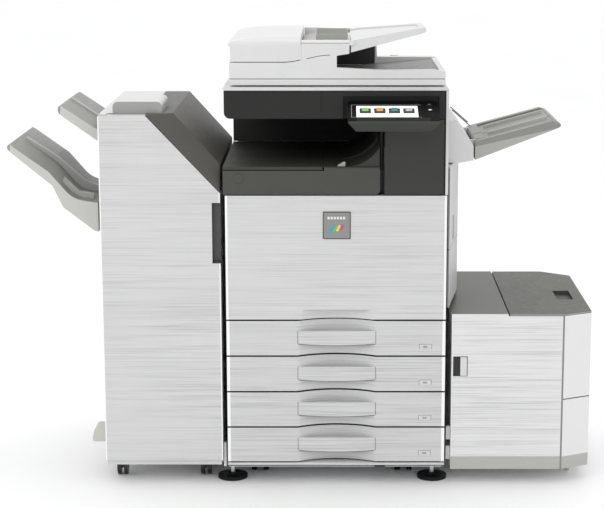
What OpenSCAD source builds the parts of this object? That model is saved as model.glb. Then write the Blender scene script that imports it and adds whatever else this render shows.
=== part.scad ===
// Office photocopier with four paper drawers and a tilting operation panel.
// A document feeder lies on top, a stapling finisher stands on the left and a
// large paper cabinet is docked on the right.
// X runs to the right, Y from the front to the back and Z up.

/* [Main unit] */
// Width of the main unit
main_w = 576; // [570:1:580]
// Depth of the main unit behind its front face
main_d = 620; // [610:1:640]
// Height of one paper drawer, seam to seam
drawer_h = 96.5; // [96:0.1:97]
// Height of the lowest drawer's bottom seam above the floor
drawer_base = 60.3; // [60:0.1:62]
// Width of the hollow that holds a drawer's handle
scoop_w = 204; // [160:2:230]
// Depth of the hollow that holds a drawer's handle
scoop_d = 28; // [20:1:30]
// Height of a drawer's handle bar
handle_h = 34; // [26:1:38]

/* [Operation panel] */
// Width of the operation panel
panel_w = 227; // [220:1:240]
// Slope of the operation panel's face, in degrees
panel_tilt = 13.4; // [10:0.1:16]
// Width of the display
screen_w = 154; // [140:1:160]
// Depth of the display along the panel's face
screen_d = 80; // [70:1:84]

/* [Document feeder] */
// Width of the document feeder
feeder_w = 551; // [545:1:555]
// Depth of the document feeder
feeder_d = 465; // [450:1:470]

/* [Finisher] */
// Width of the finisher's casing
finisher_w = 310; // [300:1:320]
// Height of the finisher's casing
finisher_h = 985; // [980:1:990]
// Radius of a finisher caster's wheel
caster_r = 24.5; // [22:0.5:24.5]

/* [Paper cabinet] */
// Height of the cabinet's top
cabinet_top = 463; // [460:1:465]
// Height of the cabinet's underside
cabinet_base = 41; // [36:1:50]

/* [Hidden] */
$fn = 48;

gap = 2;                                  // seam between neighbouring covers
wall = 3;                                 // moulded cover thickness
sheet = 2;                                // thickness of the frame's sheet metal
run_fit = 0.05;                           // radial clearance of a turning pin
front_t = 34;                             // thickness of a drawer front
drawer_count = 4;
stack_top = drawer_base + drawer_count * drawer_h;   // seam under the front door
door_top = 775;                           // top of the front door
relay_top = 840;                          // top of the left lower front cover
deck_z = 850;                             // floor of the output cavity
scan_z = 974;                             // underside of the scanner
scan_top = 1054;                          // top of the scanner
relay_w = 404;                            // width of the output cavity
exit_x = 410;                             // left edge of the exit cover
back_y = main_d - 20;                     // back of the sheet-metal frame
frame_l = 4;                              // left side of the frame
frame_r = main_w - 8;                     // right side of the frame
bay_l = frame_l + sheet;                  // inner left side of the drawer bay
bay_r = frame_r - sheet;                  // inner right side of the drawer bay
mid_x = 290;                              // middle of the handles
handle_bulge = 3;                         // how far a handle bar bows forwards
handle_drop = 4;                          // how far its lower edge sags in the middle

feeder_x = 16;                            // left end of the document feeder
feeder_r = feeder_x + feeder_w;
feeder_y = 15;
feeder_back = feeder_y + feeder_d;
feeder_z = 1058;

fin_r = -11;                              // right side of the finisher
fin_l = fin_r - finisher_w;
fin_back = 571;
fin_floor = 51;
fin_shoulder_x = -198;                    // where the top starts to slope
fin_shoulder_z = 783;                     // where the slope meets the right side

cab_l = 591;                              // left side of the paper cabinet
cab_split = 881;                          // right edge of its striped front
cab_r = 960;
cab_back = 542;
cab_hinge_x = 742;

panel_x = 318;                            // left edge of the operation panel
panel_y = -8;                             // its rear top edge
panel_z = 1018;

tray_low_tip = -571;                      // left end of the finisher's lower tray
panel_front = -141;                       // front edge of the operation panel
centre_x = (tray_low_tip + cab_r) / 2;
centre_y = (panel_front + main_d) / 2;

white = "#dedede";
dark = "#4a4a45";
steel = "#a9adb0";
grey = "#9a9a92";
black = "#1c1c1c";

// ---- helpers -------------------------------------------------------------

// Moves the assembly so that the middle of its footprint is the origin
module placed() { translate([-centre_x, -centre_y, 0]) children(); }

module block(low, high) { translate(low) cube(high - low); }

module prism_x(x0, x1, outline) {
    translate([x0, 0, 0]) rotate([90, 0, 90]) linear_extrude(x1 - x0) polygon(outline);
}

module prism_y(y0, y1, outline) {
    translate([0, y1, 0]) rotate([90, 0, 0]) linear_extrude(y1 - y0) polygon(outline);
}

module prism_z(z0, z1, outline) {
    translate([0, 0, z0]) linear_extrude(z1 - z0) polygon(outline);
}

module rod_x(x0, x1, y, z, r) { translate([x0, y, z]) rotate([0, 90, 0]) cylinder(r = r, h = x1 - x0); }

module rod_y(y0, y1, x, z, r) { translate([x, y1, z]) rotate([90, 0, 0]) cylinder(r = r, h = y1 - y0); }

module rod_z(z0, z1, x, y, r) { translate([x, y, z0]) cylinder(r = r, h = z1 - z0); }

// Points on an arc from angle a to angle b
function arc(x, y, r, a, b, n = 8) =
    [for (i = [0 : n]) [x + r * cos(a + (b - a) * i / n), y + r * sin(a + (b - a) * i / n)]];

function corner(x, y, r, a) = r > 0 ? arc(x, y, r, a, a + 90, 6) : [[x, y]];

// Rectangle with its own radius at each corner, from the lower left, anticlockwise
function round_rect(x0, y0, x1, y1, r) = concat(
    corner(x0 + r[0], y0 + r[0], r[0], 180), corner(x1 - r[1], y0 + r[1], r[1], 270),
    corner(x1 - r[2], y1 - r[2], r[2], 0), corner(x0 + r[3], y1 - r[3], r[3], 90));

// Plan of the shallow hollow across a drawer front, from right to left
scoop_r = (pow(scoop_w / 2, 2) + pow(scoop_d, 2)) / (2 * scoop_d);
scoop_half = asin(scoop_w / 2 / scoop_r);
function scoop_plan(front = 0) =
    arc(mid_x, front + scoop_d - scoop_r, scoop_r, 90 - scoop_half, 90 + scoop_half, 24);

// A pair of twin wheels on a swivel, centred on the swivel's axis
module caster(x, y, top, r) {
    wheel_w = 9;
    trail = 7;
    spread = 9;                           // from the middle to each wheel's middle
    for (side = [-1, 1])
        rod_x(x + side * spread - wheel_w / 2, x + side * spread + wheel_w / 2, y + trail, r, r);
    rod_x(x - 12, x + 12, y + trail, r, 4);
    block([x - 4, y - 8, r - 4], [x + 4, y + 16, top - 0.5]);
    rod_z(r, top + 8, x, y, 5);
}

// ---- main unit -----------------------------------------------------------

rail_w = 16;                              // width of a drawer rail
door_pin_y = 6;
door_pin_z = stack_top + 7;
door_pin_r = 3;

module main_frame() color(steel) placed() difference() {
    union() {
        block([frame_l, front_t + 10, 44], [bay_l, back_y - sheet, relay_top - 4]);
        block([bay_r, front_t + 10, 44], [frame_r, back_y - sheet, scan_z - 2]);
        block([frame_l, back_y - sheet, 44], [frame_r, back_y, scan_z - 2]);
        block([frame_l, 12, 44], [frame_r, back_y - sheet, 44 + sheet]);
        block([bay_l, front_t + 6, stack_top + 4], [bay_r, back_y - sheet, stack_top + 4 + sheet]);
        block([bay_l, front_t + 10, relay_top - 6], [bay_r, back_y - sheet, relay_top - 4]);
        // column beside the output cavity
        block([relay_w + 1, 26, relay_top - 5], [relay_w + 1 + sheet, back_y - sheet, scan_z - 2]);
        // plate that the removable units slide in through
        block([bay_l, unit_front - 6, stack_top + 5], [bay_r, unit_front - 6 + sheet, relay_top - 5]);
        // rails that carry the drawers
        for (i = [0 : drawer_count - 1], x = [bay_l, bay_r - rail_w]) {
            rail_z = drawer_base + i * drawer_h + 22;
            block([x, front_t + 14, rail_z], [x + rail_w, back_y - sheet, rail_z + 7.5]);
        }
        // arms and pins that the front door turns on
        for (x = [frame_l, frame_r - 3])
            prism_x(x, x + 3, concat(arc(door_pin_y, door_pin_z, 4, 90, 270, 8),
                [[front_t + 11, door_pin_z - 4], [front_t + 11, door_pin_z + 4]]));
        for (x = [frame_l, frame_r - 10])
            rod_x(x, x + 10, door_pin_y, door_pin_z, door_pin_r);
    }
    // hollow undersides of the drawer rails
    for (i = [0 : drawer_count - 1], x = [bay_l - 1, bay_r - rail_w + 2]) {
        rail_z = drawer_base + i * drawer_h + 22;
        block([x, front_t + 13, rail_z - 1], [x + rail_w - 1, back_y - sheet, rail_z + 5.5]);
    }
    // paper path through the right side plate
    block([bay_r - 1, 120, stack_top + 60], [frame_r + 1, 480, relay_top - 60]);
    // openings for the units behind the front door
    for (i = [0 : 3]) {
        rod_y(40, 55, unit_x + i * unit_pitch, toner_z, 37);
        block([unit_x + i * unit_pitch - 41, 40, 555], [unit_x + i * unit_pitch + 41, 55, 633]);
    }
    block([39, 40, 465], [441, 55, 545]);
    block([43, 40, belt_z - 18], [457, 55, belt_z + 18]);
    block([fuser_x - 1, 40, 699], [fuser_x + 77, 55, 821]);
}

module outer_covers() color(white) placed() {
    skirt_top = drawer_base - 1.5;
    block([0, front_t + 2, 52], [wall, back_y - 2, relay_top - 4]);
    block([frame_r + 1, front_t + 2, 52], [main_w - 3, back_y - 2, stack_top + 27]);
    block([gap, 0, 52], [main_w - gap, wall, skirt_top]);
    block([mid_x - scoop_w / 2 - 4, 0, 52], [mid_x + scoop_w / 2 + 4, front_t - 2, skirt_top]);
    block([main_w - 7, 0, door_top + 2], [main_w, back_y - 2, scan_top - 9]);
    // bracket and lower pin of the side door
    block([main_w - 7, back_y - 26, side_low - 6], [side_pin[0] + 8, back_y - 2, side_low - 2]);
    rod_z(side_low - 4, side_low + 11, side_pin[0], side_pin[1], side_pin_r);
}

module rear_cover() color(white) placed() {
    inlet_x = 500;
    inlet_z = 110;
    difference() {
        block([gap, back_y + 0.5, 52], [main_w - gap, main_d, scan_top - 14]);
        block([gap + wall, back_y - 1, 55], [main_w - gap - wall, main_d - wall, scan_top - 17]);
        for (col = [0 : 2], row = [0 : 11])
            block([90 + col * 150, main_d - wall - 1, 640 + row * 16],
                [190 + col * 150, main_d + 1, 647 + row * 16]);
        block([inlet_x, main_d - wall - 1, inlet_z], [inlet_x + 34, main_d + 1, inlet_z + 26]);
    }
    // power inlet with three blades
    difference() {
        block([inlet_x - 3, main_d - wall - 12, inlet_z - 3], [inlet_x + 37, main_d - wall, inlet_z + 29]);
        block([inlet_x + 3, main_d - wall - 10, inlet_z + 3],
            [inlet_x + 31, main_d - wall + 1, inlet_z + 23]);
    }
    for (dx = [10, 17, 24])
        block([inlet_x + dx - 1, main_d - wall - 11, inlet_z + 10],
            [inlet_x + dx + 1, main_d - wall - 1, inlet_z + 17]);
}

// Floor of the output cavity with the curved ramp up to the exit slot
module output_tray() color(dark) placed() {
    ramp_x = 312;
    difference() {
        prism_z(relay_top + 2, deck_z, round_rect(-3, 0, 256, 496, [0, 8, 0, 0]));
        block([0, 24, relay_top - 1], [253, 490, relay_top + 5]);
    }
    block([256.5, 0, deck_z - 2], [relay_w - 2.5, 496, deck_z]);
    ramp(ramp_x, 4, 150, 50);
    ramp(ramp_x - 16, 151, 470, 66);
}

// Slope with its foot at x that curves up to the right side of the cavity
module ramp(x, y0, y1, rise) {
    top_x = relay_w - 4;
    run = top_x - x;
    r = (pow(run, 2) + pow(rise, 2)) / (2 * rise);
    prism_y(y0, y1, concat([[x, deck_z - 1]], arc(x, deck_z + r, r, 270, 270 + 2 * atan(rise / run), 12),
        [[top_x, deck_z - 1]]));
}

module cavity_liner() color(black) placed() {
    block([-3, 496.5, deck_z + 1], [relay_w, 499.5, scan_z - 3]);
    block([frame_l, 499.5, deck_z + 1], [frame_l + wall, back_y - sheet - 1, scan_z - 3]);
    difference() {
        block([relay_w - 3, 24, deck_z + 1], [relay_w, 496.5, scan_z - 3]);
        block([relay_w - 5, 60, deck_z + 70], [relay_w + 2, 440, deck_z + 84]);
    }
}

module relay_cover() color(dark) placed() difference() {
    union() {
        prism_y(0, 20, round_rect(-3, door_top + 3, 401, relay_top, [0, 12, 0, 0]));
        block([257.5, 0, relay_top - 1], [401, 20, deck_z - 2.5]);
    }
    block([3, 4, door_top + 8], [250, 21, relay_top - 4]);
    // shallow round mark at the left
    translate([38, 0.8, 820]) rotate([90, 0, 0]) difference() {
        cylinder(r = 14, h = 2);
        translate([0, 0, -1]) cylinder(r = 12.5, h = 4);
    }
}

module exit_cover() color(dark) placed() difference() {
    prism_z(door_top + 3, scan_z - 2, round_rect(exit_x, 0, main_w - 8, 24, [9, 9, 0, 0]));
    prism_z(door_top + 7, scan_z - 1, round_rect(exit_x + 4, 4, main_w - 12, 25, [6, 6, 0, 0]));
}

// ---- scanner -------------------------------------------------------------

rod_cy = 330;                             // guide rod of the scan carriage
rod_cz = 1000;
rod_r = 5;
glass_low = [36, 70];
glass_high = [470, 388];
hinge_x = [110, 450];                     // middles of the feeder's two hinges
hinge_y = 512;
hinge_z = 1076;
hinge_r = 5;

module scanner_housing() color(dark) placed() {
    right = main_w - 9;
    difference() {
        prism_y(0, back_y - 2, round_rect(2, scan_z, right, scan_top - 9, [16, 0, 6, 0]));
        block([14, 34, scan_z + 8], [right - 12, back_y - 20, scan_top]);
        // bevelled pocket behind the operation panel
        block([panel_x - 12, -1, scan_z - 1], [right - 16, 12, scan_top - 22]);
        // seam between the two halves of the fascia
        block([251, -1, scan_z - 1], [252.5, 1, scan_top]);
        // small notch in the left half
        translate([216, 1, 1030]) rotate([90, 0, 0]) cylinder(r = 4, h = 3);
    }
    rod_x(12, right - 10, rod_cy, rod_cz, rod_r);
    // arms and pins that carry the operation panel
    for (x = panel_arm_x) {
        prism_x(x, x + 14, concat(arc(panel_pin_y, panel_pin_z, 5, 90, 270, 8),
            [[panel_pin_y, panel_pin_z - 5], [13, scan_z + 14], [13, scan_z + 40],
                [panel_pin_y, panel_pin_z + 5]]));
        rod_x(x - 8, x + 22, panel_pin_y, panel_pin_z, panel_pin_r);
    }
}

module scanner_top() color(white) placed() {
    difference() {
        prism_y(0, back_y - 2, round_rect(0, scan_top - 8, main_w, scan_top, [0, 0, 8, 2]));
        block([glass_low[0], glass_low[1], scan_top - 10], [glass_high[0], glass_high[1], scan_top + 1]);
        block([glass_low[0] - 5, glass_low[1] - 5, scan_top - 4.5],
            [glass_high[0] + 5, glass_high[1] + 5, scan_top + 1]);
    }
    // fork and pin of each feeder hinge
    for (x = hinge_x) {
        for (side = [-1, 1])
            prism_x(x + side * 16 - 4, x + side * 16 + 4, concat([[hinge_y - 12, scan_top - 1]],
                [[hinge_y + 14, scan_top - 1]], arc(hinge_y, hinge_z, 10, 0, 180, 10)));
        rod_x(x - 20, x + 20, hinge_y, hinge_z, hinge_r);
    }
}

module platen_glass() color("#8fb0b8") placed()
    block([glass_low[0] - 4.5, glass_low[1] - 4.5, scan_top - 4.5],
        [glass_high[0] + 4.5, glass_high[1] + 4.5, scan_top - 0.3]);

module scan_carriage() color(black) placed() difference() {
    union() {
        block([40, 50, scan_z + 14], [74, 410, scan_z + 58]);
        block([34, rod_cy - 20, rod_cz - 12], [82, rod_cy + 20, rod_cz + 12]);
    }
    rod_x(30, 90, rod_cy, rod_cz, rod_r + run_fit);
    // slot for the lamp and the mirror
    block([50, 58, scan_z + 40], [64, 402, scan_z + 59]);
}

// ---- stand ---------------------------------------------------------------

module stand_feet() color(black) placed() {
    foot_r = 39.5;
    for (x = [11, 545], y = [61, 545]) {
        rod_z(0, 8, x, y, foot_r);
        rod_z(8, 14, x, y, 15);
        rod_z(14, 44, x, y, 7);
    }
    for (x = [82, 470], y = [118, 500]) {
        caster_wheel_r = 19;
        for (side = [-1, 1])
            rod_x(x + side * 16 - 7, x + side * 16 + 7, y, caster_wheel_r + 1, caster_wheel_r);
        rod_x(x - 18, x + 18, y, caster_wheel_r + 1, 4);
        block([x - 6, y - 12, caster_wheel_r - 3], [x + 6, y + 12, 44]);
    }
}

// ---- front door and the units behind it ----------------------------------

module front_door() color(white) placed() {
    bottom = stack_top + gap;
    difference() {
        block([gap, 0, bottom], [main_w - gap, 26, door_top]);
        // hollow back
        block([14, 3.5, bottom + 16], [160, 27, door_top - 8]);
        block([420, 3.5, bottom + 16], [main_w - 14, 27, door_top - 8]);
        block([160, 3.5, bottom + 60], [420, 27, door_top - 8]);
        // hollow that continues the drawers' handle scoop
        prism_z(bottom - 1, bottom + 26, concat([[mid_x - scoop_w / 2, -1], [mid_x + scoop_w / 2, -1]],
            scoop_plan(-6)));
        // hinge bores, and room for the arms that hold their pins
        for (x = [frame_l - 1, frame_r - 4])
            block([x, 1.5, bottom - 1], [x + 5, 27, bottom + 16]);
        for (x = [frame_l - 1, frame_r - 11])
            rod_x(x, x + 12, door_pin_y, door_pin_z, door_pin_r + run_fit);
    }
}

unit_front = 50;                          // front of the removable units
unit_back = 560;
unit_x = 78;                              // middle of the first colour's units
unit_pitch = 96;
toner_z = 744;
belt_z = 662;
fuser_x = 476;

module toner_cartridges() color(black) placed() for (i = [0 : 3]) {
    x = unit_x + i * unit_pitch;
    rod_y(unit_front - 10, unit_back - 60, x, toner_z, 36);
    rod_y(unit_front - 14, unit_front - 10, x, toner_z, 30);
    block([x - 8, unit_front - 20, toner_z - 14], [x + 8, unit_front - 14, toner_z + 14]);
}

module drum_units() color(black) placed() for (i = [0 : 3]) {
    x = unit_x + i * unit_pitch;
    difference() {
        block([x - 40, unit_front - 8, 556], [x + 40, unit_back, 628]);
        block([x - 34, unit_front + 20, 606], [x + 20, unit_back - 20, 630]);
        block([x - 34, unit_front + 4, 570], [x + 34, unit_back - 12, 598]);
    }
    rod_y(unit_front + 19, unit_back - 19, x - 7, 618, 14);
    block([x - 12, unit_front - 18, 572], [x + 12, unit_front - 8, 600]);
}

module transfer_belt_unit() color("#30343a") placed() {
    belt_r = 18;
    difference() {
        prism_y(unit_front + 8, unit_back - 8, concat(arc(62, belt_z, belt_r, 90, 270, 12),
            arc(438, belt_z, belt_r, 270, 450, 12)));
        prism_y(unit_front + 7, unit_back - 7, concat(arc(62, belt_z, belt_r - 2, 90, 270, 12),
            arc(438, belt_z, belt_r - 2, 270, 450, 12)));
    }
    // end frames and the rollers at both ends
    for (y = [unit_front - 8, unit_back - 12])
        block([60, y, belt_z - 12], [440, y + 20, belt_z + 12]);
    for (x = [62, 438])
        rod_y(unit_front - 8, unit_back, x, belt_z, belt_r - 2);
}

module laser_unit() color("#3a3f45") placed() {
    difference() {
        block([40, unit_front - 4, 466], [440, unit_back, 540]);
        block([48, unit_front + 4, 474], [432, unit_back - 8, 532]);
    }
    for (i = [0 : 3])
        block([unit_x + i * unit_pitch - 6, unit_front + 30, 540],
            [unit_x + i * unit_pitch + 6, unit_back - 30, 544]);
}

module fuser_unit() color("#50545a") placed() {
    difference() {
        block([fuser_x, unit_front - 8, 700], [fuser_x + 76, unit_back, 820]);
        block([fuser_x + 8, unit_front + 16, 712], [fuser_x + 68, unit_back - 16, 821]);
    }
    rod_y(unit_front + 15, unit_back - 15, fuser_x + 22.8, 760, 15);
    rod_y(unit_front + 15, unit_back - 15, fuser_x + 53.2, 760, 15);
    block([fuser_x + 20, unit_front - 20, 740], [fuser_x + 56, unit_front - 8, 760]);
}

// Pick-up roller above the feed end of each drawer
module feed_rollers() color(black) placed() for (i = [0 : drawer_count - 1]) {
    z = drawer_base + (i + 1) * drawer_h - 12;
    rod_y(180, back_y - sheet, 520, z, 3);
    for (y = [230, 320])
        rod_y(y, y + 36, 520, z, 8);
}

// ---- operation panel -----------------------------------------------------

panel_pin_y = -14;
panel_pin_z = 1000;
panel_pin_r = 3;
panel_arm_x = [350, 500];

// Frame on the panel's face: Y runs up the slope and Z away from the face
module on_panel() { translate([panel_x, panel_y, panel_z]) rotate([panel_tilt, 0, 0]) children(); }

module panel_housing() color(dark) placed() difference() {
    intersection() {
        prism_x(panel_x, panel_x + panel_w, [
            [panel_y, panel_z], [panel_front + 6, 987], [panel_front + 1, 983], [panel_front, 978],
            [-108, 955], [-60, 962], [panel_y, 976]]);
        prism_y(panel_front - 1, 1, [
            [panel_x, 1030], [panel_x, 980], [panel_x + 24, 950],
            [panel_x + panel_w - 24, 950], [panel_x + panel_w, 980], [panel_x + panel_w, 1030]]);
    }
    on_panel() translate([screen_x, screen_y, -1.2]) cube([screen_w, screen_d, 4]);
    for (y = panel_key_y)
        on_panel() translate([panel_key_x, y, -8]) cylinder(r = key_r + 0.3, h = 12);
    // slots around the two arms, with the pin left across each
    for (x = panel_arm_x)
        block([x - 1, -30, 970], [x + 15, 1, 1013]);
    for (x = panel_arm_x)
        rod_x(x - 9, x + 23, panel_pin_y, panel_pin_z, panel_pin_r + run_fit);
}

screen_x = 21;
screen_y = -112;
panel_key_x = 206;
panel_key_y = [-61, -22];
key_r = 7;

module panel_screen() color("#e8e8e8") placed()
    on_panel() translate([screen_x, screen_y, -1.2]) cube([screen_w, screen_d, 1.8]);

module panel_key(y) {
    on_panel() translate([panel_key_x, y, -5]) cylinder(r = key_r, h = 6);
}

module panel_key_upper() color(black) placed() panel_key(panel_key_y[1]);

module panel_key_lower() color(black) placed() panel_key(panel_key_y[0]);

// ---- right side ----------------------------------------------------------

side_low = stack_top + 30;                // bottom of the side door
side_top = 846;
side_pin = [588, 588];                    // vertical axis of the side door
side_pin_r = 4;
side_r = 620;                             // outermost X of the side door
latch_pin = [591, 134];                   // vertical axis of its latch
latch_low = 644;
latch_high = 700;

module side_door() color(white) placed() {
    outline = [[main_w + 1, 24], [main_w + 6, 14], [side_r - 10, 190], [side_r - 1, 250], [side_r, 300],
        [side_r, 592], [side_r - 8, 600], [590, 600], [581, 595], [main_w + 1, 588]];
    inner = [[main_w, 34], [main_w + 6, 34], [side_r - 13, 196], [side_r - 4, 254], [side_r - 4, 560],
        [main_w, 560]];
    difference() {
        prism_z(side_low, side_top, outline);
        difference() {
            prism_z(side_low + wall, side_top - wall, inner);
            block([main_w, 88, latch_low - 12], [side_r, 150, latch_high + 12]);
        }
        rod_z(side_low - 1, side_low + 12, side_pin[0], side_pin[1], side_pin_r + run_fit);
        rod_z(side_top - 12, side_top + 1, side_pin[0], side_pin[1], side_pin_r + run_fit);
        // pocket for the latch
        block([main_w + 9, 96, latch_low - 4], [side_r, 142, latch_high + 4]);
    }
    rod_z(latch_low - 5, latch_high + 5, latch_pin[0], latch_pin[1], 2);
}

module side_door_latch() color(grey) placed() difference() {
    block([latch_pin[0] - 3, 100, latch_low], [latch_pin[0] + 3, 138, latch_high]);
    rod_z(latch_low - 1, latch_high + 1, latch_pin[0], latch_pin[1], 2 + run_fit);
}

// White wedge over the side door that carries the side tray
module side_tray_housing() color(white) placed() {
    y0 = 76;
    y1 = 402;
    difference() {
        prism_y(y0, y1, [[main_w + 1, 850], [611, 850], [646, 856], [646, 895], [599, 962],
            [main_w + 1, 958]]);
        // slot that the paper leaves by
        block([600, y0 + 20, 866], [650, y1 - 20, 874]);
    }
    // ears around the tray's hinge pin
    for (y = side_ear_y)
        prism_y(y, y + 8, concat([[636, 888]], arc(side_hinge[0], side_hinge[1], 5, -90, 90, 8),
            [[636, 906]]));
    rod_y(side_ear_y[0] - 12, side_ear_y[1] + 20, side_hinge[0], side_hinge[1], 2.5);
    // bracket and upper pin of the side door
    rod_z(side_top - 11, side_top + 5, side_pin[0], side_pin[1], side_pin_r);
    prism_z(side_top + 2, side_top + 5, [[main_w + 1, y1 - 6], [600, y1 - 6], [600, back_y],
        [main_w + 1, back_y]]);
}

side_hinge = [654, 901];                  // axis of the side tray
side_ear_y = [110, 360];

module side_tray() color(grey) placed() difference() {
    prism_y(78, 400, [[650, 857], [864, 940], [871, 944], [872, 950], [866, 955], [850, 959], [652, 906],
        [650, 903]]);
    rod_y(side_ear_y[0] - 13, side_ear_y[1] + 21, side_hinge[0], side_hinge[1], 2.5 + run_fit);
    for (y = side_ear_y)
        block([640, y - 0.5, 880], [side_hinge[0] + 8, y + 8.5, 920]);
    // shallow paper channel in the top
    prism_y(104, 374, [[676, 916], [856, 965], [856, 956], [676, 907]]);
}

// ---- drawers, counted from the top ---------------------------------------

function drawer_z(number) = drawer_base + (drawer_count - number) * drawer_h;

module drawer_front(number) color(white) placed() {
    low = drawer_z(number) + gap;
    high = drawer_z(number) + drawer_h - gap;
    bar_top = high - 27;
    difference() {
        prism_z(low, high, concat([[gap, 0]], [for (i = [24 : -1 : 0]) scoop_plan()[i]],
            [[main_w - gap, 0], [main_w - gap, front_t], [gap, front_t]]));
        block([10, 5, low + 5], [150, front_t + 1, high - 5]);
        block([430, 5, low + 5], [main_w - 10, front_t + 1, high - 5]);
    }
    // handle bar, deeper in the middle, with a finger gap behind it
    half = scoop_w / 2;
    intersection() {
        prism_z(low, high, concat([for (i = [-8 : 8]) [mid_x + i * half / 8,
            -handle_bulge * (1 - pow(i / 8, 2))]],
            [[mid_x + half, 6], [mid_x, 9], [mid_x - half, 6]]));
        prism_y(-20, 20, concat([[mid_x + half, bar_top], [mid_x - half, bar_top]],
            [for (i = [-8 : 8]) [mid_x + i * half / 8,
                bar_top - handle_h - handle_drop * (1 - pow(i / 8, 2))]]));
    }
    // size label holder
    block([505, -0.6, low + 17], [539, 1, low + 31]);
}

module drawer_tray(number) color(grey) placed() {
    low = drawer_z(number) + 6;
    high = low + 66;
    left = 26;
    right = 546;
    back = 556;
    difference() {
        block([left, front_t, low], [right, back, high]);
        block([left + wall, front_t + wall, low + wall], [right - wall, back - wall, high + 1]);
        // low side at the feed end, under the pick-up roller
        block([right - wall - 1, 120, high - 14], [right + 1, 500, high + 1]);
    }
    // runners on both sides
    block([left - 12, front_t + 20, low + 24], [left, back, low + 30]);
    block([right, front_t + 20, low + 24], [right + 12, back, low + 30]);
    // side fences and end fence
    for (y = [100, 480])
        block([150, y, low + wall], [400, y + 3, high - 8]);
    block([48, 230, low + wall], [51, 350, high - 8]);
}

lift_pivot_x = 70;

module drawer_lift_plate(number) color(steel) placed() {
    low = drawer_z(number) + 6 + wall + 2;
    difference() {
        block([lift_pivot_x, 108, low], [525, 474, low + 2]);
        // notches for the paper to be reached
        block([lift_pivot_x + 60, 250, low - 1], [lift_pivot_x + 160, 330, low + 3]);
        block([410, 180, low - 1], [440, 400, low + 3]);
    }
}

// ---- document feeder -----------------------------------------------------

seam_z = 1115.5;                          // seam between the feeder's base and its cover
neck_x = 290;                             // right end of the feeder's tower
seam_n = 24;
// Point i on the stretch where the seam rises to the right, raised by lift
function seam(i, lift) =
    [neck_x - 17 - i * 120 / seam_n, seam_z + lift + 19 * pow(cos(i * 90 / seam_n), 2)];

module feeder_base() color(white) placed() {
    difference() {
        union() {
            // left tower with its top rising to the right
            prism_y(feeder_y, feeder_back, concat([[feeder_x + 2, feeder_z]], [[neck_x, feeder_z]],
                [[neck_x, 1150]],
                [for (i = [0 : seam_n]) seam(i, 0)], [[feeder_x, seam_z], [feeder_x, 1072]]));
            // feed deck between the cover and the input tray
            prism_y(feeder_y, feeder_back, [[200, 1120], [neck_x, 1133], [322, 1138], [322, deck_top],
                [226, deck_top], [200, 1156]]);
            // exit tub
            block([neck_x - 1, feeder_y, feeder_z], [feeder_r, feeder_back, 1072]);
            prism_y(feeder_y, feeder_back, [[neck_x + 50, 1071], [feeder_r, 1071], [feeder_r, 1091]]);
            prism_y(feeder_y, feeder_y + 16, [[neck_x - 1, 1070], [feeder_r, 1070], [feeder_r - 2, 1092],
                [feeder_r - 30, 1098],
                [neck_x + 110, 1097], [neck_x - 1, 1103]]);
            block([feeder_r - 14, feeder_y, 1070], [feeder_r, feeder_back, 1092]);
            prism_y(feeder_back - 40, feeder_back,
                [[neck_x - 1, 1070], [feeder_r, 1070], [feeder_r, 1092], [feeder_r - 8, 1094],
                [neck_x + 112, 1094], [neck_x + 110, 1136], [neck_x - 1, 1134]]);
        }
        // room for the feed roller under the cover
        block([60, feeder_y + 30, 1076], [180, feeder_back - 44, 1160]);
        // scanning slot
        block([70, feeder_y + 60, feeder_z - 1], [84, feeder_back - 60, 1077]);
        // shadow line around the foot, and the seam's continuation to the right
        difference() {
            block([feeder_x - 1, feeder_y - 1, 1073], [feeder_r + 1, feeder_back + 1, 1075]);
            block([feeder_x + 1.5, feeder_y + 1.5, 1072], [feeder_r - 1.5, feeder_back - 1.5, 1076]);
        }
        prism_y(feeder_y - 1, feeder_y + 1.5, concat([for (i = [0 : seam_n / 2]) seam(i, -1)],
            [for (i = [seam_n / 2 : -1 : 0]) seam(i, 1)]));
        // paper exit into the tub
        block([178, feeder_y + 50, 1078], [neck_x + 1, feeder_back - 60, 1094]);
    }
    // side walls of the feed deck
    prism_y(feeder_back - 20, feeder_back, [[200, 1142], [322, 1148], [322, 1171], [200, 1174]]);
    prism_x(200, 322, [[feeder_y, 1144], [feeder_y + 14, 1144], [feeder_y + 14, 1172], [feeder_y + 9, 1172],
        [feeder_y + 3, 1168], [feeder_y, 1161]]);
    // ears and pins of the cover and of the input tray
    for (y = cover_ear_y) {
        prism_y(y, y + 8, concat([[cover_pivot[0] + 3, seam_z - 2]],
            arc(cover_pivot[0], cover_pivot[1], 3, 0, 180, 8), [[cover_pivot[0] - 3, seam_z - 2]]));
        rod_y(y - 6, y + 14, cover_pivot[0], cover_pivot[1], 1.5);
    }
    for (y = [[feeder_y, feeder_y + 3.7], [feeder_back - 9.7, feeder_back]])
        prism_y(y[0], y[1], concat([[321, tray_pivot[1] - 6]],
            arc(tray_pivot[0], tray_pivot[1], 6, -90, 90, 8), [[321, tray_pivot[1] + 6]]));
    for (y = [[feeder_y, feeder_y + 18], [feeder_back - 24, feeder_back]])
        rod_y(y[0], y[1], tray_pivot[0], tray_pivot[1], 2.5);
    // ears that carry the feed roller
    for (y = [feeder_y + 90, feeder_back - 110])
        difference() {
            prism_y(y, y + 8, concat([[roller_x + 9, 1074], [roller_x + 9, roller_z]],
                arc(roller_x, roller_z, 9, 0, 180, 10), [[roller_x - 9, 1074]]));
            rod_y(y - 1, y + 9, roller_x, roller_z, 4 + run_fit);
        }
    // hinge knuckles
    for (x = hinge_x)
        difference() {
            prism_x(x - 11, x + 11, concat([[feeder_back - 1, feeder_z + 4]],
                arc(hinge_y, hinge_z, 10, -90, 90, 10), [[feeder_back - 1, 1096]]));
            rod_x(x - 12, x + 12, hinge_y, hinge_z, hinge_r + run_fit);
        }
}

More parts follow.
